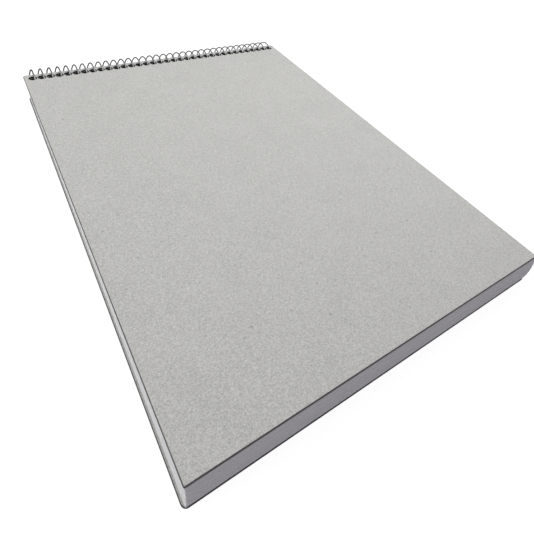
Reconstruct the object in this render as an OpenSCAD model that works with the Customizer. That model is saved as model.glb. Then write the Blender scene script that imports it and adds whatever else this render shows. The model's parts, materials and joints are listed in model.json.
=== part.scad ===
/* [Pad] */
// Width of the boards, along the bound edge
pad_w = 228.6; // [120:0.1:320]
// Length of the boards and sheets, from the front edge to the bound edge
pad_l = 304.8; // [160:0.1:450]
// How far the lowest leaves lean to the left at the front edge
fan_out = 1.45; // [0:0.05:2]

/* [Boards] */
// Thickness of the front cover
cover_t = 1.4; // [0.8:0.05:1.6]
// Thickness of the back board
back_t = 1.4; // [0.8:0.05:1.6]
// Radius of the front cover's corners at the front edge
cover_front_r = 0.5; // [0.2:0.1:4]
// Radius of the front cover's corners at the bound edge
cover_rear_r = 1.8; // [0.5:0.1:4]
// Radius of the back board's corners
back_corner_r = 2.4; // [0.5:0.1:4]
// How far the back board lies forward of the front cover
back_forward = 0.9; // [0:0.05:2.5]

/* [Sheets] */
// Thickness of one sheet of bond paper
sheet_t = 0.105; // [0.08:0.005:0.13]
// Air between two sheets, and between a sheet and a board
sheet_gap = 0.018; // [0.012:0.002:0.04]
// Sheets that lie together in one bundle
bundle_sheets = 7; // [4:1:9]
// Inset of the sheets from the cover's edge on each side
sheet_inset = 0.3; // [0:0.05:1]
// How far the lowest sheet lies forward of the front cover
sheet_forward = 0.4; // [0:0.05:2]
// How far the middle of the stack bulges forward of its ends
sheet_bulge = 0.9; // [0:0.05:2]

/* [Spiral] */
// Distance between neighbouring holes, which is also the lead of the spiral
hole_pitch = 6.35; // [5.6:0.05:8]
// Diameter of the spiral's wire
wire_d = 1.05; // [0.7:0.05:1.1]
// Height of the wire's centre over the front cover, at the top of a loop
coil_rise = 1.85; // [1.7:0.05:3]
// Length of each crimped wire end along the spiral
crimp_l = 1.5; // [0.5:0.1:2]
// Radius of the bend at each crimped wire end
crimp_r = 1.5; // [1:0.1:2]

/* [Holes] */
// From the bound edge to the hole centres
hole_margin = 5.9; // [4.5:0.1:9]
// From the left edge to the first hole's centre
first_hole = 5.9; // [4:0.1:9]
// Least distance from the last hole's centre to the right edge
last_hole_room = 5.9; // [4:0.1:9]
// Clearance round the wire in a hole of the boards
hole_clear = 0.39; // [0.34:0.01:0.4]
// Clearance that is left round the wire in a sheet's hole while the sheet turns over
turn_clear = 0.2; // [0.15:0.01:0.3]
// Angle by which a leaf turns over the spiral
leaf_turn = 180; // [120:5:180]

/* [Hidden] */
single_count = 4;
bundle_count = 20;
round_fn = 48;
corner_steps = 6;
greyboard = [0.73, 0.73, 0.71];
paper = [0.93, 0.93, 0.92];
wire_metal = [0.72, 0.73, 0.75];

function two_digits(i) = str(i < 10 ? "0" : "", i);
function single_name(i) = str("sheet_", two_digits(i));
function bundle_name(i) = str("sheet_bundle_", two_digits(i));

// Levels are heights over the spiral's axis, which runs through the middle of the stack
sheet_count = single_count + bundle_count * bundle_sheets;
sheet_step = sheet_t + sheet_gap;
stack_t = cover_t + back_t + sheet_count * sheet_step + sheet_gap;
cover_level = (stack_t - cover_t) / 2;
back_level = (back_t - stack_t) / 2;
function sheet_level(k) = stack_t / 2 - cover_t - sheet_gap - sheet_t / 2 - k * sheet_step;

// A loop is two half rings, tilted so that each half moves on by half a lead
coil_r = stack_t / 2 + coil_rise;
quarter_lead = hole_pitch / 4;
ring_r = norm([coil_r, quarter_lead]);
ring_tilt = atan2(quarter_lead, coil_r);
axis_z = coil_r + wire_d / 2;

// Where the wire crosses a level in front of the axis, and how far it has moved along by then
function wire_reach(level) = ring_r * sqrt(1 - pow(level / coil_r, 2));
function wire_shift(level) = quarter_lead * (1 - level / coil_r);

// A hole lets the wire walk along by walk while its leaf turns, and a board is crossed at a slant
walk = hole_pitch * leaf_turn / 360;
slant_run = cover_t * (cover_level / coil_r) / sqrt(1 - pow(cover_level / coil_r, 2));
hole_r = wire_d / 2 + norm([walk, slant_run]) / 2 + hole_clear;
hole_count = floor((pad_w - first_hole - last_hole_room) / hole_pitch) + 1;

// Hole rows lie in front of the axis: boards hang on the wire, sheets lag behind it by the play they have
board_lag = 0.22;
sheet_lag = sqrt(pow(hole_r - wire_d / 2 - turn_clear, 2) - pow(walk / 2, 2));
board_row = wire_reach(cover_level) - board_lag;
function sheet_row(level) = wire_reach(level) * (1 - sheet_lag / ring_r);

// From here to the placing, x and y run from the front cover's left edge and front edge
axis_y_from_front = pad_l - hole_margin + board_row;
last_room = pad_w - first_hole - (hole_count - 1) * hole_pitch;
sheet_size = [pad_w - 2 * sheet_inset, pad_l];
function depth_share(level) = (cover_level - level) / (cover_level - back_level);
function crept(level) = wire_shift(level) - wire_shift(cover_level);
function sheet_corner(level) = let (d = depth_share(level))
    [crept(level) + sheet_inset, -sheet_forward * d - 4 * sheet_bulge * d * (1 - d)];
// The back board is punched like the front cover and lies turned over, so its side margins are swapped
back_corner = [crept(back_level) + first_hole - last_room, -back_forward];

// A corner of radius 0 is one point
function corner_arc(centre, start, r) = [
    for (s = [0:r > 0 ? corner_steps : 0])
        let (a = start + 90 * s / corner_steps)
        centre + r * [cos(a), sin(a)]
];

// Rectangle whose front corners lean to the left, the more so the lower it lies
function outline(corner, size, front_r, rear_r, level) = let (
    front = corner - [fan_out * depth_share(level), 0]
) concat(
    corner_arc(front + [front_r, front_r], 180, front_r),
    corner_arc(front + [size.x - front_r, front_r], 270, front_r),
    corner_arc(corner + [size.x - rear_r, size.y - rear_r], 0, rear_r),
    corner_arc(corner + [rear_r, size.y - rear_r], 90, rear_r)
);

board_size = [pad_w, pad_l];
cover_outline = outline([0, 0], board_size, cover_front_r, cover_rear_r, cover_level);
back_outline = outline(back_corner, board_size, back_corner_r, back_corner_r, back_level);
function sheet_outline(level) = outline(sheet_corner(level), sheet_size, 0, 0, level);

// The whole pad is centred on its own box, with the spiral's underside at height 0
leaf_points = concat(
    cover_outline,
    back_outline,
    [for (k = [0:sheet_count - 1]) each sheet_outline(sheet_level(k))]
);
leaf_x = [for (p = leaf_points) p.x];
leaf_y = [for (p = leaf_points) p.y];
rear_y = axis_y_from_front + ring_r + wire_d / 2;
centre_x = (min(leaf_x) + max(leaf_x)) / 2;
centre_y = (min(leaf_y) + rear_y) / 2;
axis_y = axis_y_from_front - centre_y;
first_loop_x = first_hole + walk / 2 - wire_shift(cover_level) - centre_x;

// Least gap of the wire to itself, between points of one loop and of the next
loop_points = 72;
function loop_point(i) = let (
    turn = 360 * i / loop_points - 180,
    along = sign(turn) * quarter_lead * (1 - cos(turn))
) [along, -ring_r * sin(turn), coil_r * cos(turn)];
self_gap = min([
    for (i = [0:loop_points], j = [0:loop_points])
        if (loop_points + j - i >= loop_points / 2)
            norm(loop_point(i) - loop_point(j) - [hole_pitch, 0, 0])
]) - wire_d;
echo(least_gap_of_wire_to_itself = self_gap);

// One punched leaf at its level
module leaf(points, level, thickness, row) {
    translate([-centre_x, -centre_y, axis_z + level - thickness / 2])
        linear_extrude(thickness)
            difference() {
                polygon(points);
                for (n = [0:hole_count - 1])
                    translate([crept(level) + first_hole + n * hole_pitch, axis_y_from_front - row])
                        circle(r = hole_r, $fn = round_fn);
            }
}

module sheet(k) {
    level = sheet_level(k);
    leaf(sheet_outline(level), level, sheet_t, sheet_row(level));
}

module front_cover() {
    color(greyboard) leaf(cover_outline, cover_level, cover_t, board_row);
}

module single_sheet(i) {
    color(paper) sheet(i - 1);
}

module sheet_bundle(i) {
    color(paper)
        for (s = [0:bundle_sheets - 1])
            sheet(single_count + (i - 1) * bundle_sheets + s);
}

module back_board() {
    color(greyboard) leaf(back_outline, back_level, back_t, board_row);
}

module ring_arc(r, angle) {
    rotate_extrude(angle = angle, $fn = 2 * round_fn)
        translate([r, 0])
            circle(d = wire_d, $fn = round_fn);
}

// Wire end that is bent back along the spiral under its lowest point
module crimped_end() {
    translate([crimp_r, 0, 0])
        rotate(180)
            ring_arc(crimp_r, 90);
    translate([crimp_r, -crimp_r, 0])
        rotate([0, 90, 0])
            cylinder(d = wire_d, h = crimp_l, $fn = round_fn);
}

// Moves on by so many half rings: each starts where the last one ends, and is tilted the other way
module onward(steps) {
    if (steps > 0)
        translate([ring_r, 0, 0])
            rotate([0, 2 * ring_tilt, 180])
                translate([ring_r, 0, 0])
                    onward(steps - 1)
                        children();
    else
        children();
}

// A row of half rings, joined two by two
module half_rings(count) {
    first = ceil(count / 2);
    if (count == 1)
        ring_arc(ring_r, 180);
    else {
        half_rings(first);
        onward(first)
            half_rings(count - first);
    }
}

module spiral_wire() {
    half_ring_count = 2 * hole_count;
    color(wire_metal)
        translate([first_loop_x - quarter_lead, axis_y, axis_z])
            rotate([0, ring_tilt - 90, 0]) {
                half_rings(half_ring_count);
                translate([-ring_r, 0, 0])
                    rotate([0, 90 - ring_tilt, 0])
                        crimped_end();
                onward(half_ring_count - 1)
                    translate([ring_r, 0, 0])
                        rotate([0, -90 - ring_tilt, 0])
                            crimped_end();
            }
}

front_cover();
for (i = [1:single_count])
    single_sheet(i);
for (i = [1:bundle_count])
    sheet_bundle(i);
back_board();
spiral_wire();
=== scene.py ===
"""Looks of a spiral-bound pad of bond paper: two chipboard boards, sheets, wire and a plain studio."""
import json
import math
import random

import bmesh
import bpy
from bpy.props import FloatProperty, FloatVectorProperty, IntProperty, PointerProperty
from mathutils import Matrix, Vector


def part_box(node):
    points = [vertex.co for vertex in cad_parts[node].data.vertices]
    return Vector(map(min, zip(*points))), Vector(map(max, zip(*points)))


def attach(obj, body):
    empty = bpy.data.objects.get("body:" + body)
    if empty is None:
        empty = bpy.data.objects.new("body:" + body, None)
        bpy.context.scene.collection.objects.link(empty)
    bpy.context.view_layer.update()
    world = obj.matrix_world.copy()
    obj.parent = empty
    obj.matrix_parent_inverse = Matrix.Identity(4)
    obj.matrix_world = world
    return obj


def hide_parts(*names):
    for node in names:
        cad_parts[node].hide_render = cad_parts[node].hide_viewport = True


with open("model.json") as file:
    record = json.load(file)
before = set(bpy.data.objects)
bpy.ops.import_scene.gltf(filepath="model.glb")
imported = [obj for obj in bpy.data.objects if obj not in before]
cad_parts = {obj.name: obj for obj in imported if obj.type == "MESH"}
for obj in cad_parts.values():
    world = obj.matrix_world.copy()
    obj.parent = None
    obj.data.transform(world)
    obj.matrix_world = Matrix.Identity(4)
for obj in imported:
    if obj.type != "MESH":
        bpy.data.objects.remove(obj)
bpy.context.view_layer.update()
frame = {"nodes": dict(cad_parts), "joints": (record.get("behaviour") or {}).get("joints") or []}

bl_info = {
    "name": "Spiral-Bound Paper Pad",
    "version": (1, 0, 0),
    "blender": (4, 5, 0),
    "location": "3D View > Sidebar > Paper Pad",
    "description": "Makes the boards, sheets and wire spiral of a paper pad, and a plain studio round it",
    "category": "Object",
}

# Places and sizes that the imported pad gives, in metres
COVER_LOW, COVER_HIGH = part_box("front_cover")
BACK_LOW, BACK_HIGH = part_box("back_board")
SPIRAL_LOW, SPIRAL_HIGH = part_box("spiral_wire")
TOP_SHEET_LOW, TOP_SHEET_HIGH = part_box("sheet_01")
SPIRAL_AXIS = Vector(frame["joints"][0]["pos_m"])
PAD_WIDTH = COVER_HIGH.x - COVER_LOW.x
PAD_LENGTH = COVER_HIGH.y - COVER_LOW.y
SHEET_THICKNESS = TOP_SHEET_HIGH.z - TOP_SHEET_LOW.z
SHEET_STEP = TOP_SHEET_LOW.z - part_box("sheet_02")[0].z
COVER_LEVEL = (COVER_LOW.z + COVER_HIGH.z) / 2
BACK_LEVEL = (BACK_LOW.z + BACK_HIGH.z) / 2
SHEET_NODES = sorted(name for name in frame["nodes"] if name.startswith("sheet_"))

MM = 0.001

# Order of a leaf's materials
FACE_SLOT, EDGE_SLOT, HOLE_SLOT = range(3)


class PadSizes(bpy.types.PropertyGroup):
    """Sizes of the pad's pieces"""

    hole_clear: FloatProperty(
        name="Hole clearance", description="Clearance round the wire in a hole of the boards",
        default=0.39 * MM, unit="LENGTH", precision=5)
    hole_pitch: FloatProperty(
        name="Hole pitch", description="Distance between neighbouring holes and between loops of the spiral",
        default=6.35 * MM, unit="LENGTH", precision=5)
    hole_margin: FloatProperty(
        name="Hole margin", description="From the boards' bound edge to the hole centres",
        default=5.9 * MM, unit="LENGTH", precision=5)
    first_hole: FloatProperty(
        name="First hole", description="From the cover's left edge to the first hole's centre",
        default=5.9 * MM, unit="LENGTH", precision=5)
    hole_count: IntProperty(
        name="Holes", description="Number of holes and of loops", default=35, min=1)
    # Painted shade: a dark ring round each hole of a sheet, standing for the shade that falls into the hole.
    shade_ring_width: FloatProperty(
        name="Rub width", description="Width of the dark ring that the wire rubs round a sheet's holes",
        default=0.16 * MM, unit="LENGTH", precision=5)
    turn_clear: FloatProperty(
        name="Turn clearance", description="Clearance round the wire in a sheet's hole while it turns over",
        default=0.2 * MM, unit="LENGTH", precision=5)
    fan_out: FloatProperty(
        name="Fan out", description="How far the lowest leaves lean to the left at the front edge",
        default=1.45 * MM, unit="LENGTH", precision=5)
    cover_front_corner: FloatProperty(
        name="Cover, front corners", description="Radius of the front cover's corners at the front edge",
        default=0.5 * MM, unit="LENGTH", precision=5)
    cover_rear_corner: FloatProperty(
        name="Cover, rear corners", description="Radius of the front cover's corners at the bound edge",
        default=1.8 * MM, unit="LENGTH", precision=5)
    back_corner: FloatProperty(
        name="Back board corners", description="Radius of the back board's corners",
        default=2.4 * MM, unit="LENGTH", precision=5)
    back_forward: FloatProperty(
        name="Back board forward", description="How far the back board lies forward of the front cover",
        default=0.9 * MM, unit="LENGTH", precision=5)
    board_rim: FloatProperty(
        name="Board rim", description="Rounding of the boards' cut edges",
        default=0.3 * MM, unit="LENGTH", precision=5)
    sheet_inset: FloatProperty(
        name="Sheet inset", description="Inset of the sheets from the cover's edge on each side",
        default=0.3 * MM, unit="LENGTH", precision=5)
    sheet_forward: FloatProperty(
        name="Sheets forward", description="How far the lowest sheet lies forward of the front cover",
        default=0.4 * MM, unit="LENGTH", precision=5)
    sheet_bulge: FloatProperty(
        name="Sheet bulge", description="How far the middle of the stack bulges forward of its ends",
        default=0.9 * MM, unit="LENGTH", precision=5)
    trim_spread: FloatProperty(
        name="Trim spread", description="How far the sheets' trimmed edges stray from each other",
        default=0.07 * MM, unit="LENGTH", precision=5)
    wire_diameter: FloatProperty(
        name="Wire diameter", description="Diameter of the spiral's wire",
        default=1.05 * MM, unit="LENGTH", precision=5)
    crimp_radius: FloatProperty(
        name="Crimp radius", description="Radius of the bend at each end of the wire",
        default=1.5 * MM, unit="LENGTH", precision=5)
    crimp_length: FloatProperty(
        name="Crimp length", description="Length of each bent-in wire end",
        default=1.5 * MM, unit="LENGTH", precision=5)


class PadColours(bpy.types.PropertyGroup):
    """Colours of the pad's pieces"""

    board_dark: FloatVectorProperty(
        name="Board, dark pulp", description="Darker part of the chipboard's mottling",
        default=(0.275, 0.276, 0.259, 1), size=4, subtype="COLOR", min=0, max=1)
    board_pale: FloatVectorProperty(
        name="Board, pale pulp", description="Paler part of the chipboard's mottling",
        default=(0.749, 0.752, 0.707, 1), size=4, subtype="COLOR", min=0, max=1)
    # Partly the chipboard's own darker cut edge and partly painted shade: made darker still to stand for the
    # shade along the boards' rims.
    board_edge_and_shade: FloatVectorProperty(
        name="Board edge", description="Cut edge of the chipboard",
        default=(0.099, 0.097, 0.096, 1), size=4, subtype="COLOR", min=0, max=1)
    paper: FloatVectorProperty(
        name="Paper", description="Bond paper",
        default=(0.84, 0.845, 0.825, 1), size=4, subtype="COLOR", min=0, max=1)
    wire: FloatVectorProperty(
        name="Wire", description="Plated steel wire",
        default=(0.170, 0.171, 0.176, 1), size=4, subtype="COLOR", min=0, max=1)
    # Painted shade: a near-black colour for the hole walls and the rings round the sheets' holes, standing
    # for the shade inside the holes.
    punched: FloatVectorProperty(
        name="Punched edge", description="Walls of the holes, where the stack swallows the light",
        default=(0.05, 0.05, 0.05, 1), size=4, subtype="COLOR", min=0, max=1)
    floor: FloatVectorProperty(
        name="Floor", description="Pale floor, as it lights the pad",
        default=(0.61, 0.59, 0.67, 1), size=4, subtype="COLOR", min=0, max=1)


class PadStudio(bpy.types.PropertyGroup):
    """Light of the studio"""

    strip_power: FloatProperty(
        name="Strip light", description="Power of the long soft light over the bound edge",
        default=3.0, unit="POWER", min=0)
    side_power: FloatProperty(
        name="Side light", description="Power of the low soft light on the pad's left",
        default=7.3, unit="POWER", min=0)
    sky_strength: FloatProperty(
        name="Sky", description="Strength of the even light from all round", default=0.36, min=0)
    sky_colour: FloatVectorProperty(
        name="Sky colour", description="Colour of the even light from all round",
        default=(0.95, 0.92, 1.0, 1), size=4, subtype="COLOR", min=0, max=1)


def new_node(tree, kind, **settings):
    """Adds a node to a tree and sets its options."""
    made = tree.nodes.new(kind)
    for option, value in settings.items():
        setattr(made, option, value)
    return made


def set_inputs(made, **values):
    """Sets a node's sockets, named in capitals with underscores for spaces."""
    for socket, value in values.items():
        made.inputs[socket.replace("_", " ")].default_value = value
    return made


def math_node(tree, operation, *values):
    """Adds a Math node whose inputs are sockets or plain numbers, and returns its output."""
    made = new_node(tree, "ShaderNodeMath", operation=operation)
    for place, value in enumerate(values):
        if isinstance(value, (int, float)):
            made.inputs[place].default_value = value
        else:
            tree.links.new(value, made.inputs[place])
    return made.outputs[0]


def noise_node(tree, vector, scale, detail, roughness=0.5):
    """Adds a Noise texture whose scale is a socket or a number, and returns its value."""
    made = new_node(tree, "ShaderNodeTexNoise")
    set_inputs(made, Detail=detail, Roughness=roughness)
    tree.links.new(vector, made.inputs["Vector"])
    if isinstance(scale, (int, float)):
        made.inputs["Scale"].default_value = scale
    else:
        tree.links.new(scale, made.inputs["Scale"])
    return made.outputs["Fac"]


def ramp_node(tree, value, low, high):
    """Maps a value from 0 at low to 1 at high, smoothly, and returns the result."""
    made = new_node(tree, "ShaderNodeMapRange", interpolation_type="SMOOTHSTEP")
    made.inputs["From Min"].default_value = low
    made.inputs["From Max"].default_value = high
    tree.links.new(value, made.inputs["Value"])
    return made.outputs["Result"]


def mix_colour(tree, factor, first, second):
    """Mixes two colours, each a socket or a plain colour, and returns the result."""
    made = new_node(tree, "ShaderNodeMix", data_type="RGBA")
    tree.links.new(factor, made.inputs["Factor"])
    for socket, value in (("A", first), ("B", second)):
        place = next(i for i in made.inputs if i.name == socket and i.type == "RGBA")
        if isinstance(value, bpy.types.NodeSocket):
            tree.links.new(value, place)
        else:
            place.default_value = value
    return next(o for o in made.outputs if o.type == "RGBA")


def shade(colour, share):
    """A colour made darker or lighter by a share."""
    return (colour[0] * share, colour[1] * share, colour[2] * share, 1)


def group_sockets(name, inputs, outputs):
    """Starts a node group with named value sockets, and returns it with its ends."""
    tree = bpy.data.node_groups.new(name, "ShaderNodeTree")
    for socket, kind in inputs:
        tree.interface.new_socket(socket, in_out="INPUT", socket_type=kind)
    for socket in outputs:
        tree.interface.new_socket(socket, in_out="OUTPUT", socket_type="NodeSocketFloat")
    start = new_node(tree, "NodeGroupInput")
    end = new_node(tree, "NodeGroupOutput")
    return tree, start, end


def pulp_mottle(tree, place, scale):
    """Noise of three grains round a middle of 0.5."""
    grains = (
        (noise_node(tree, place, math_node(tree, "MULTIPLY", scale, 0.07), 2), 0.12),
        (noise_node(tree, place, math_node(tree, "MULTIPLY", scale, 1.9), 4, 0.65), 1.55),
        (noise_node(tree, place, math_node(tree, "MULTIPLY", scale, 3.7), 3, 0.6), 1.32),
    )
    mottle = 0.5
    for noise, weight in grains:
        swing = math_node(tree, "SUBTRACT", noise, 0.5)
        mottle = math_node(tree, "ADD", math_node(tree, "MULTIPLY", swing, weight), mottle)
    return mottle


def pulp_specks(tree, place, scale):
    """Small dark specks, in one cell out of six or so."""
    cells = new_node(tree, "ShaderNodeTexVoronoi")
    tree.links.new(place, cells.inputs["Vector"])
    tree.links.new(math_node(tree, "MULTIPLY", scale, 0.26), cells.inputs["Scale"])
    pick = new_node(tree, "ShaderNodeSeparateColor")
    tree.links.new(cells.outputs["Color"], pick.inputs["Color"])
    chosen = ramp_node(tree, pick.outputs["Red"], 0.80, 0.90)
    dots = ramp_node(tree, cells.outputs["Distance"], 0.16, 0.06)
    return math_node(tree, "MULTIPLY", chosen, dots)


def pulp_hairs(tree, place, scale):
    """Pale hairs, which are stretches of bent cell borders."""
    bend = new_node(tree, "ShaderNodeTexNoise")
    set_inputs(bend, Detail=2)
    tree.links.new(place, bend.inputs["Vector"])
    tree.links.new(math_node(tree, "MULTIPLY", scale, 0.5), bend.inputs["Scale"])
    bent = new_node(tree, "ShaderNodeVectorMath", operation="MULTIPLY_ADD")
    tree.links.new(bend.outputs["Color"], bent.inputs[0])
    bent.inputs[1].default_value = (2.2 * MM,) * 3
    tree.links.new(place, bent.inputs[2])
    borders = new_node(tree, "ShaderNodeTexVoronoi", feature="DISTANCE_TO_EDGE")
    tree.links.new(bent.outputs[0], borders.inputs["Vector"])
    tree.links.new(math_node(tree, "MULTIPLY", scale, 0.55), borders.inputs["Scale"])
    lines = ramp_node(tree, borders.outputs["Distance"], 0.09, 0.02)
    patches = noise_node(tree, place, math_node(tree, "MULTIPLY", scale, 0.8), 1)
    return math_node(tree, "MULTIPLY", lines, ramp_node(tree, patches, 0.56, 0.66))


def pulp_group():
    """Mottling, dark specks and pale hairs of pressed pulp."""
    found = bpy.data.node_groups.get("pulp")
    if found:
        return found
    tree, start, end = group_sockets(
        "pulp",
        (("Vector", "NodeSocketVector"), ("Scale", "NodeSocketFloat")),
        ("Mottle", "Specks", "Hairs", "Height"))
    place, scale = start.outputs["Vector"], start.outputs["Scale"]
    mottle = pulp_mottle(tree, place, scale)
    hairs = pulp_hairs(tree, place, scale)
    raised = math_node(tree, "MULTIPLY", hairs, 0.25)
    tree.links.new(mottle, end.inputs["Mottle"])
    tree.links.new(pulp_specks(tree, place, scale), end.inputs["Specks"])
    tree.links.new(hairs, end.inputs["Hairs"])
    tree.links.new(math_node(tree, "ADD", mottle, raised), end.inputs["Height"])
    return tree


def layers_group():
    """Streaks along a cut edge, one over the other: layers of pulp, or sheets of a stack."""
    found = bpy.data.node_groups.get("layers")
    if found:
        return found
    tree, start, end = group_sockets(
        "layers",
        (("Vector", "NodeSocketVector"), ("Layer Height", "NodeSocketFloat")),
        ("Streaks",))
    split = new_node(tree, "ShaderNodeSeparateXYZ")
    tree.links.new(start.outputs["Vector"], split.inputs[0])
    joined = new_node(tree, "ShaderNodeCombineXYZ")
    streaks_per_metre = 12.0
    for axis in "XY":
        along = math_node(tree, "MULTIPLY", split.outputs[axis], streaks_per_metre)
        tree.links.new(along, joined.inputs[axis])
    upward = math_node(tree, "DIVIDE", split.outputs["Z"], start.outputs["Layer Height"])
    tree.links.new(upward, joined.inputs["Z"])
    streaks = noise_node(tree, joined.outputs[0], 1.0, 4, 0.7)
    nap = noise_node(tree, start.outputs["Vector"], 2600.0, 3, 0.6)
    nap_share = 0.35
    mixed = math_node(
        tree, "ADD",
        math_node(tree, "MULTIPLY", streaks, 1 - nap_share), math_node(tree, "MULTIPLY", nap, nap_share))
    tree.links.new(mixed, end.inputs["Streaks"])
    return tree


def new_material(name):
    """Starts a material and returns it with its tree, Principled shader and object coordinates."""
    made = bpy.data.materials.new(name)
    made.use_nodes = True
    tree = made.node_tree
    shader = tree.nodes["Principled BSDF"]
    place = new_node(tree, "ShaderNodeTexCoord").outputs["Object"]
    return made, tree, shader, place


def add_bump(tree, shader, height, distance, strength):
    """Raises a material's surface by a height map."""
    bump = new_node(tree, "ShaderNodeBump")
    set_inputs(bump, Strength=strength, Distance=distance)
    tree.links.new(height, bump.inputs["Height"])
    tree.links.new(bump.outputs["Normal"], shader.inputs["Normal"])


def place_group(tree, group, vector, **values):
    """Puts a node group into a material."""
    made = new_node(tree, "ShaderNodeGroup", node_tree=group)
    tree.links.new(vector, made.inputs["Vector"])
    return set_inputs(made, **values)


def chipboard_face(colours):
    """Matte grey chipboard, mottled by its pulp."""
    made, tree, shader, place = new_material("chipboard_face")
    pulp = place_group(tree, pulp_group(), place, Scale=720.0)
    colour = mix_colour(tree, pulp.outputs["Mottle"], colours.board_dark, colours.board_pale)
    specks = math_node(tree, "MULTIPLY", pulp.outputs["Specks"], 0.45)
    colour = mix_colour(tree, specks, colour, shade(colours.board_dark, 0.35))
    hairs = math_node(tree, "MULTIPLY", pulp.outputs["Hairs"], 0.16)
    colour = mix_colour(tree, hairs, colour, shade(colours.board_pale, 1.25))
    tree.links.new(colour, shader.inputs["Base Color"])
    dull = math_node(tree, "MULTIPLY_ADD", pulp.outputs["Mottle"], 0.2, 0.5)
    tree.links.new(dull, shader.inputs["Roughness"])
    add_bump(tree, shader, pulp.outputs["Height"], 0.12 * MM, 0.35)
    return made


def chipboard_edge_and_shade(colours):
    """Cut edge of the chipboard, layered and darker: partly its own darker core, partly painted shade along
    the boards' rims.
    """
    made, tree, shader, place = new_material("chipboard_edge_and_shade")
    layers = place_group(tree, layers_group(), place, Layer_Height=0.16 * MM)
    colour = mix_colour(
        tree, layers.outputs["Streaks"], shade(colours.board_edge_and_shade, 0.6), shade(colours.board_edge_and_shade, 1.4))
    tree.links.new(colour, shader.inputs["Base Color"])
    set_inputs(shader, Roughness=0.92, Specular_IOR_Level=0.15)
    add_bump(tree, shader, layers.outputs["Streaks"], 0.1 * MM, 0.5)
    return made


def paper_face(colours):
    """Smooth face of a sheet of bond paper."""
    made, tree, shader, place = new_material("paper_face")
    pulp = place_group(tree, pulp_group(), place, Scale=1100.0)
    colour = mix_colour(tree, pulp.outputs["Mottle"], shade(colours.paper, 0.95), shade(colours.paper, 1.05))
    tree.links.new(colour, shader.inputs["Base Color"])
    set_inputs(shader, Roughness=0.8, Specular_IOR_Level=0.3)
    add_bump(tree, shader, pulp.outputs["Height"], 0.03 * MM, 0.3)
    return made


def paper_edge(colours):
    """Trimmed edge of the sheets, streaked because some lie a little paler than others."""
    made, tree, shader, place = new_material("paper_edge")
    layers = place_group(tree, layers_group(), place, Layer_Height=1.2 * MM)
    colour = mix_colour(
        tree, layers.outputs["Streaks"], shade(colours.paper, 0.76), shade(colours.paper, 1.19))
    tree.links.new(colour, shader.inputs["Base Color"])
    set_inputs(shader, Roughness=0.9, Specular_IOR_Level=0.2)
    return made


def painted_hole_shade(colours):
    """Wall of the holes, coloured near black as painted shade: it stands for the shade that the stacked edges
    hold inside the holes.
    """
    made, tree, shader, place = new_material("painted_hole_shade")
    layers = place_group(tree, layers_group(), place, Layer_Height=0.2 * MM)
    # Painted shade for the inside of the holes, streaked in layers like the stack.
    colour = mix_colour(
        tree, layers.outputs["Streaks"], shade(colours.punched, 0.5), shade(colours.punched, 1.5))
    tree.links.new(colour, shader.inputs["Base Color"])
    set_inputs(shader, Roughness=0.95, Specular_IOR_Level=0.1)
    return made


def plated_wire(colours):
    """Plated wire with faint drawing marks, which darkens towards its outline."""
    made, tree, shader, place = new_material("plated_wire")
    marks = noise_node(tree, place, 1800.0, 4, 0.6)
    colour = mix_colour(tree, marks, shade(colours.wire, 0.85), shade(colours.wire, 1.15))
    tree.links.new(colour, shader.inputs["Base Color"])
    gloss = math_node(tree, "MULTIPLY_ADD", marks, 0.12, 0.14)
    tree.links.new(gloss, shader.inputs["Roughness"])
    set_inputs(shader, Metallic=1.0, Specular_Tint=(0.20, 0.20, 0.205, 1))
    add_bump(tree, shader, marks, 0.02 * MM, 0.15)
    return made


def seen_directly(tree):
    """1 for rays from the camera and for mirrored and transmitted ones: metal shows the background too."""
    path = new_node(tree, "ShaderNodeLightPath")
    shown = math_node(tree, "MAXIMUM", path.outputs["Is Camera Ray"], path.outputs["Is Glossy Ray"])
    return math_node(tree, "MAXIMUM", shown, path.outputs["Is Transmission Ray"])


def floor_finish(colours):
    """Pale floor that looks white where it is lit and keeps the pad's shadow."""
    shadow_grey = (0.25, 0.25, 0.25, 1)
    glow_strength = 0.92
    made = bpy.data.materials.new("studio_floor")
    made.use_nodes = True
    tree = made.node_tree
    tree.nodes.remove(tree.nodes["Principled BSDF"])
    lighting = new_node(tree, "ShaderNodeBsdfDiffuse")
    lighting.inputs["Color"].default_value = colours.floor
    white = new_node(tree, "ShaderNodeBsdfDiffuse")
    white.inputs["Color"].default_value = shadow_grey
    glow = new_node(tree, "ShaderNodeEmission")
    glow.inputs["Strength"].default_value = glow_strength
    both = new_node(tree, "ShaderNodeAddShader")
    tree.links.new(white.outputs[0], both.inputs[0])
    tree.links.new(glow.outputs[0], both.inputs[1])
    choice = new_node(tree, "ShaderNodeMixShader")
    tree.links.new(seen_directly(tree), choice.inputs["Fac"])
    tree.links.new(lighting.outputs[0], choice.inputs[1])
    tree.links.new(both.outputs[0], choice.inputs[2])
    tree.links.new(choice.outputs[0], tree.nodes["Material Output"].inputs["Surface"])
    return made


def finish_piece(bm, name, body, node, materials):
    """Turns a bmesh into a piece that rides on a body in place of a node."""
    mesh = bpy.data.meshes.new(name)
    bm.to_mesh(mesh)
    bm.free()
    for material in materials:
        mesh.materials.append(material)
    piece = bpy.data.objects.new(name, mesh)
    bpy.context.scene.collection.objects.link(piece)
    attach(piece, body)
    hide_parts(node)


def shared_material(name, maker):
    """A material that is made once and then found by its name."""
    return bpy.data.materials.get(name) or maker(bpy.context.scene.pad_colours)


def coil_height(sizes):
    """Height of the wire's centre over the spiral's axis, at the top of a loop."""
    return SPIRAL_AXIS.z - SPIRAL_LOW.z - sizes.wire_diameter / 2


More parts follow.
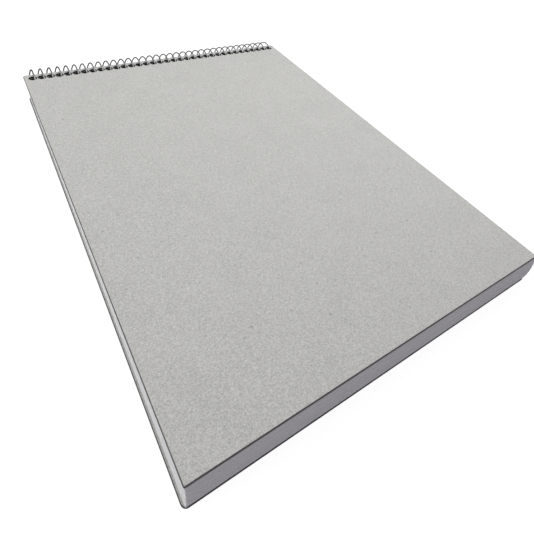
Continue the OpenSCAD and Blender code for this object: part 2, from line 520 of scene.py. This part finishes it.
def wire_reach(sizes, level):
    """How far in front of the spiral's axis the wire crosses a level."""
    depth = SPIRAL_HIGH.y - SPIRAL_AXIS.y - sizes.wire_diameter / 2
    return depth * math.sqrt(1 - ((level - SPIRAL_AXIS.z) / coil_height(sizes)) ** 2)


def crept(sizes, level):
    """How far the wire has moved sideways from the cover's level to a lower one."""
    return sizes.hole_pitch / 4 * (COVER_LEVEL - level) / coil_height(sizes)


def hole_radius(sizes):
    """Radius of a hole, in which the wire walks half a pitch and crosses the cover at a slant."""
    rise = (COVER_LEVEL - SPIRAL_AXIS.z) / coil_height(sizes)
    slant = (COVER_HIGH.z - COVER_LOW.z) * rise / math.sqrt(1 - rise ** 2)
    return (sizes.wire_diameter + math.hypot(sizes.hole_pitch / 2, slant)) / 2 + sizes.hole_clear


def depth_share(level):
    """0 at the front cover and 1 at the back board."""
    return (COVER_LEVEL - level) / (COVER_LEVEL - BACK_LEVEL)


def leaf_corners(sizes, level, left, right, front, rear):
    """Corners of a leaf from its left front on: the lower it lies, the more the front ones lean left."""
    lean = sizes.fan_out * depth_share(level)
    return [
        Vector((x, y, 0))
        for x, y in ((left - lean, front), (right - lean, front), (right, rear), (left, rear))
    ]


def draw_in(part, centre, circle, share):
    """Adds a flat ring from a circle inwards, down to a share of its radius."""
    edges = {edge for vert in circle for edge in vert.link_edges if edge.is_boundary}
    drawn = bmesh.ops.extrude_edge_only(part, edges=list(edges))["geom"]
    verts = [vert for vert in drawn if isinstance(vert, bmesh.types.BMVert)]
    bmesh.ops.scale(part, vec=(share, share, 1), space=Matrix.Translation(-centre), verts=verts)


def draw_outline(part, corners, rounding):
    """Draws a leaf's outline, with one radius for the front corners and one for the rear ones."""
    outline = [part.verts.new(corner) for corner in corners]
    part.faces.new(outline)
    for pair, radius in zip((outline[:2], outline[2:]), rounding):
        if radius:
            bmesh.ops.bevel(
                part, geom=pair, offset=radius, offset_type="OFFSET", segments=6,
                profile=0.5, affect="VERTICES", material=-1)
    bmesh.ops.delete(part, geom=part.faces[:], context="FACES_ONLY")


def punch(part, centres, radius, shade_ring, segments):
    """Fills an outline round a row of holes, each with a ring of painted shade unless its width is 0."""
    circles = [
        bmesh.ops.create_circle(
            part, segments=segments, radius=radius + shade_ring, matrix=Matrix.Translation(centre))["verts"]
        for centre in centres
    ]
    bmesh.ops.triangle_fill(part, edges=part.edges[:], use_beauty=True, normal=(0, 0, 1))
    if shade_ring:
        for centre, circle in zip(centres, circles):
            draw_in(part, centre, circle, radius / (radius + shade_ring))


def thicken(part, thickness, rim):
    """Gives a flat leaf its thickness, and rounds its rims unless rim is 0."""
    raised = bmesh.ops.extrude_face_region(part, geom=part.faces[:])["geom"]
    upper = [vert for vert in raised if isinstance(vert, bmesh.types.BMVert)]
    bmesh.ops.translate(part, verts=upper, vec=(0, 0, thickness))
    bmesh.ops.recalc_face_normals(part, faces=part.faces[:])
    if rim:
        sharp = math.radians(60)
        rims = [edge for edge in part.edges if edge.calc_face_angle(0) > sharp]
        bmesh.ops.bevel(
            part, geom=rims, offset=rim, offset_type="OFFSET", segments=2,
            profile=0.5, affect="EDGES", material=-1)


def assign_slots(part, row_y, reach, shade_ringed):
    """Gives each face of a leaf its material. The faces of the painted-shade rings round the holes are the
    four-sided ones.
    """
    least_upward = 0.95
    for face in part.faces:
        punched = abs(face.calc_center_median().y - row_y) < reach
        in_ring = shade_ringed and punched and len(face.verts) == 4
        if abs(face.normal.z) > least_upward and not in_ring:
            face.material_index = FACE_SLOT
        else:
            face.material_index = HOLE_SLOT if punched else EDGE_SLOT


def add_leaf(bm, sizes, corners, rounding, row, level, thickness, rim, shade_ring, hole_segments):
    """Adds a leaf to a bmesh, punched along a row that lies so far in front of the spiral's axis."""
    radius = hole_radius(sizes)
    first = Vector((COVER_LOW.x + sizes.first_hole + crept(sizes, level), SPIRAL_AXIS.y - row, 0))
    centres = [first + Vector((hole * sizes.hole_pitch, 0, 0)) for hole in range(sizes.hole_count)]
    part = bmesh.new()
    draw_outline(part, corners, rounding)
    punch(part, centres, radius, shade_ring, hole_segments)
    thicken(part, thickness, rim)
    assign_slots(part, first.y, radius + shade_ring, shade_ring > 0)
    bmesh.ops.translate(part, verts=part.verts[:], vec=(0, 0, level - thickness / 2))
    mesh = bpy.data.meshes.new("leaf")
    part.to_mesh(mesh)
    part.free()
    bm.from_mesh(mesh)
    bpy.data.meshes.remove(mesh)


class PAD_OT_boards(bpy.types.Operator):
    """Make the front cover and the back board"""

    bl_idname = "pad.boards"
    bl_label = "Boards"

    hole_segments = 40

    def execute(self, context):
        sizes = context.scene.pad_sizes
        self.add_board(
            sizes, "front_cover", "front_cover", COVER_LEVEL, COVER_LOW.x, COVER_LOW.y,
            (sizes.cover_front_corner, sizes.cover_rear_corner))
        # The back board is punched like the cover and lies turned over, so its side margins are swapped
        last_room = PAD_WIDTH - sizes.first_hole - (sizes.hole_count - 1) * sizes.hole_pitch
        left = COVER_LOW.x + crept(sizes, BACK_LEVEL) + sizes.first_hole - last_room
        self.add_board(
            sizes, "back_board", "back_and_spiral", BACK_LEVEL, left, COVER_LOW.y - sizes.back_forward,
            (sizes.back_corner, sizes.back_corner))
        return {"FINISHED"}

    def add_board(self, sizes, node, body, level, left, front, rounding):
        """Adds one board with its left front corner in place."""
        low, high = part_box(node)
        corners = leaf_corners(sizes, level, left, left + PAD_WIDTH, front, front + PAD_LENGTH)
        row = SPIRAL_AXIS.y - COVER_HIGH.y + sizes.hole_margin
        bm = bmesh.new()
        add_leaf(
            bm, sizes, corners, rounding, row, level, high.z - low.z, sizes.board_rim, 0, self.hole_segments)
        finish_piece(bm, node + "_chipboard", body, node, [
            shared_material("chipboard_face", chipboard_face),
            shared_material("chipboard_edge_and_shade", chipboard_edge_and_shade),
            shared_material("painted_hole_shade", painted_hole_shade),
        ])


class PAD_OT_sheets(bpy.types.Operator):
    """Make the punched sheets of paper, stacked with a slight bulge"""

    bl_idname = "pad.sheets"
    bl_label = "Sheets"

    hole_segments = 16
    trim_seed = 7

    def execute(self, context):
        sizes = context.scene.pad_sizes
        trim = random.Random(self.trim_seed)
        for node in SHEET_NODES:
            low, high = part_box(node)
            count = round((high.z - low.z - SHEET_THICKNESS) / SHEET_STEP) + 1
            bm = bmesh.new()
            for sheet in range(count):
                level = high.z - SHEET_THICKNESS / 2 - sheet * SHEET_STEP
                self.add_sheet(bm, sizes, level, trim)
            finish_piece(bm, node + "_paper", node, node, [
                shared_material("paper_face", paper_face),
                shared_material("paper_edge", paper_edge),
                shared_material("painted_hole_shade", painted_hole_shade),
            ])
        return {"FINISHED"}

    def add_sheet(self, bm, sizes, level, trim):
        """Adds one sheet at its level, trimmed a little out of line."""
        depth = depth_share(level)
        left = COVER_LOW.x + crept(sizes, level) + sizes.sheet_inset
        right = left + PAD_WIDTH - 2 * sizes.sheet_inset
        front = COVER_LOW.y - sizes.sheet_forward * depth - 4 * sizes.sheet_bulge * depth * (1 - depth)
        sides = [side + trim.gauss(0, sizes.trim_spread) for side in (left, right, front, front + PAD_LENGTH)]
        play = hole_radius(sizes) - sizes.wire_diameter / 2 - sizes.turn_clear
        lag = math.sqrt(play ** 2 - (sizes.hole_pitch / 4) ** 2)
        row = wire_reach(sizes, level) * (1 - lag / wire_reach(sizes, SPIRAL_AXIS.z))
        corners = leaf_corners(sizes, level, *sides)
        add_leaf(
            bm, sizes, corners, (0, 0), row, level, SHEET_THICKNESS, 0, sizes.shade_ring_width, self.hole_segments)


class PAD_OT_spiral(bpy.types.Operator):
    """Wind the wire spiral as half rings that are tilted to and fro"""

    bl_idname = "pad.spiral"
    bl_label = "Spiral"

    wire_sides = 14
    half_ring_steps = 28
    crimp_steps = 8

    def execute(self, context):
        sizes = context.scene.pad_sizes
        wire = sizes.wire_diameter / 2
        quarter = sizes.hole_pitch / 4
        tilt = math.atan2(quarter, coil_height(sizes))
        start = Vector((SPIRAL_LOW.x + wire, SPIRAL_AXIS.y, SPIRAL_LOW.z + wire))
        bend = Vector((sizes.crimp_radius, 0, 0))
        straight = Vector((sizes.crimp_length, 0, 0))

        bm = bmesh.new()
        free_end = start + bend - Vector((0, sizes.crimp_radius, 0)) + straight
        turned = Matrix.Translation(free_end) @ Matrix.Rotation(math.radians(-90), 4, "Y")
        ring = bmesh.ops.create_circle(
            bm, segments=self.wire_sides, radius=wire, cap_ends=True, matrix=turned)["verts"]
        ring = self.draw_out(bm, self.rim_of(ring), -straight)
        ring = self.wind(bm, ring, start + bend, Vector((0, 0, -1)), math.radians(90), self.crimp_steps)
        for half in range(2 * sizes.hole_count):
            side = -1 if half % 2 == 0 else 1
            centre = Vector((start.x + quarter + half * 2 * quarter, SPIRAL_AXIS.y, SPIRAL_AXIS.z))
            axis = Vector((math.cos(tilt), 0, side * math.sin(tilt)))
            ring = self.wind(bm, ring, centre, axis, math.pi, self.half_ring_steps)
        end = Vector((start.x + 4 * quarter * sizes.hole_count, start.y, start.z))
        ring = self.wind(bm, ring, end - bend, Vector((0, 0, 1)), math.radians(90), self.crimp_steps)
        ring = self.draw_out(bm, ring, -straight)
        bmesh.ops.contextual_create(bm, geom=[part for part in ring if isinstance(part, bmesh.types.BMEdge)])
        bmesh.ops.recalc_face_normals(bm, faces=bm.faces[:])
        for face in bm.faces:
            face.smooth = len(face.verts) == 4
        material = shared_material("plated_wire", plated_wire)
        finish_piece(bm, "wound_wire", "back_and_spiral", "spiral_wire", [material])
        return {"FINISHED"}

    def rim_of(self, verts):
        """A ring's vertices and edges."""
        edges = {edge for vert in verts for edge in vert.link_edges}
        return list(verts) + list(edges)

    def draw_out(self, bm, ring, way):
        """Draws the wire straight on, and returns its new end."""
        edges = [part for part in ring if isinstance(part, bmesh.types.BMEdge)]
        drawn = bmesh.ops.extrude_edge_only(bm, edges=edges)["geom"]
        verts = [part for part in drawn if isinstance(part, bmesh.types.BMVert)]
        bmesh.ops.translate(bm, verts=verts, vec=way)
        ends = set(verts)
        new_edges = [part for part in drawn if isinstance(part, bmesh.types.BMEdge)]
        return verts + [edge for edge in new_edges if ends.issuperset(edge.verts)]

    def wind(self, bm, ring, centre, axis, angle, steps):
        """Bends the wire round an axis, and returns its new end."""
        return bmesh.ops.spin(bm, geom=ring, cent=centre, axis=axis, angle=angle, steps=steps)["geom_last"]


class PAD_OT_stage(bpy.types.Operator):
    """Set up the camera, the pale floor and the soft light"""

    bl_idname = "pad.stage"
    bl_label = "Studio"

    # Camera as the photograph was taken, in a frame of 534 by 533 pixels
    frame_width = 534
    frame_height = 533
    focal_length = 461.34
    centre_column = 283.0
    centre_row = 125.0
    camera_from_corner = Vector((-31.83, -54.647, 194.137)) * MM
    camera_turn = (56.4701, -9.0189, -33.557)
    sensor_width = 36.0

    strip_place = Vector((0.28, 0.15, 0.533))
    strip_aim = Vector((0.28, 0.0, 0.0))
    strip_size = (1.2, 0.3)
    side_place = Vector((-1.1, 0.15, 0.16))
    side_aim = Vector((0.0, 0.0, 0.0))
    side_size = (0.6, 0.6)
    floor_reach = 4.0

    def execute(self, context):
        self.add_camera(context)
        self.add_floor(context)
        self.add_light(context)
        context.scene.view_settings.view_transform = "Standard"
        return {"FINISHED"}

    def add_camera(self, context):
        """Adds the camera where the photograph was taken from."""
        lens = bpy.data.cameras.new("camera")
        lens.sensor_width = self.sensor_width
        lens.lens = self.focal_length * self.sensor_width / self.frame_width
        lens.shift_x = (self.frame_width / 2 - self.centre_column) / self.frame_width
        lens.shift_y = (self.centre_row - self.frame_height / 2) / self.frame_width
        lens.clip_start = 0.01
        camera = bpy.data.objects.new("camera", lens)
        camera.location = Vector((COVER_LOW.x, COVER_LOW.y, COVER_HIGH.z)) + self.camera_from_corner
        camera.rotation_euler = [math.radians(turn) for turn in self.camera_turn]
        context.scene.collection.objects.link(camera)
        context.scene.camera = camera

    def add_floor(self, context):
        """Adds the floor that the pad lies on."""
        bm = bmesh.new()
        bmesh.ops.create_grid(bm, x_segments=1, y_segments=1, size=self.floor_reach)
        mesh = bpy.data.meshes.new("floor")
        bm.to_mesh(mesh)
        bm.free()
        mesh.materials.append(floor_finish(context.scene.pad_colours))
        floor = bpy.data.objects.new("floor", mesh)
        context.scene.collection.objects.link(floor)

    def add_lamp(self, context, name, power, place, aim, size):
        """Adds a soft light that is aimed at a point and isn't seen itself."""
        lamp = bpy.data.lights.new(name, "AREA")
        lamp.shape = "RECTANGLE"
        lamp.size, lamp.size_y = size
        lamp.energy = power
        light = bpy.data.objects.new(name, lamp)
        light.location = place
        light.rotation_euler = (aim - place).to_track_quat("-Z", "Y").to_euler()
        light.visible_camera = False
        context.scene.collection.objects.link(light)

    def add_light(self, context):
        """Adds both lamps and the even light from all round."""
        studio = context.scene.pad_studio
        self.add_lamp(
            context, "strip_light", studio.strip_power, self.strip_place, self.strip_aim, self.strip_size)
        self.add_lamp(
            context, "side_light", studio.side_power, self.side_place, self.side_aim, self.side_size)
        world = bpy.data.worlds.new("studio")
        world.use_nodes = True
        tree = world.node_tree
        sky = tree.nodes["Background"]
        sky.inputs["Color"].default_value = studio.sky_colour
        sky.inputs["Strength"].default_value = studio.sky_strength
        white = new_node(tree, "ShaderNodeBackground")
        white.inputs["Color"].default_value = (1, 1, 1, 1)
        choice = new_node(tree, "ShaderNodeMixShader")
        tree.links.new(seen_directly(tree), choice.inputs["Fac"])
        tree.links.new(sky.outputs[0], choice.inputs[1])
        tree.links.new(white.outputs[0], choice.inputs[2])
        tree.links.new(choice.outputs[0], tree.nodes["World Output"].inputs["Surface"])
        context.scene.world = world


class PAD_PT_panel(bpy.types.Panel):
    """Lists the pad's pieces and their sizes and colours"""

    bl_idname = "PAD_PT_panel"
    bl_label = "Paper Pad"
    bl_space_type = "VIEW_3D"
    bl_region_type = "UI"
    bl_category = "Paper Pad"

    def draw(self, context):
        for operator in OPERATORS:
            self.layout.operator(operator.bl_idname)
        for values in (context.scene.pad_sizes, context.scene.pad_colours, context.scene.pad_studio):
            box = self.layout.box()
            for name in values.__annotations__:
                box.prop(values, name)


OPERATORS = (PAD_OT_stage, PAD_OT_boards, PAD_OT_sheets, PAD_OT_spiral)
CLASSES = (PadSizes, PadColours, PadStudio) + OPERATORS + (PAD_PT_panel,)


def register():
    for made in CLASSES:
        bpy.utils.register_class(made)
    bpy.types.Scene.pad_sizes = PointerProperty(type=PadSizes)
    bpy.types.Scene.pad_colours = PointerProperty(type=PadColours)
    bpy.types.Scene.pad_studio = PointerProperty(type=PadStudio)


def unregister():
    del bpy.types.Scene.pad_studio
    del bpy.types.Scene.pad_colours
    del bpy.types.Scene.pad_sizes
    for made in reversed(CLASSES):
        bpy.utils.unregister_class(made)


def main():
    register()
    bpy.ops.pad.stage()
    bpy.ops.pad.boards()
    bpy.ops.pad.sheets()
    bpy.ops.pad.spiral()


if __name__ == "__main__":
    main()
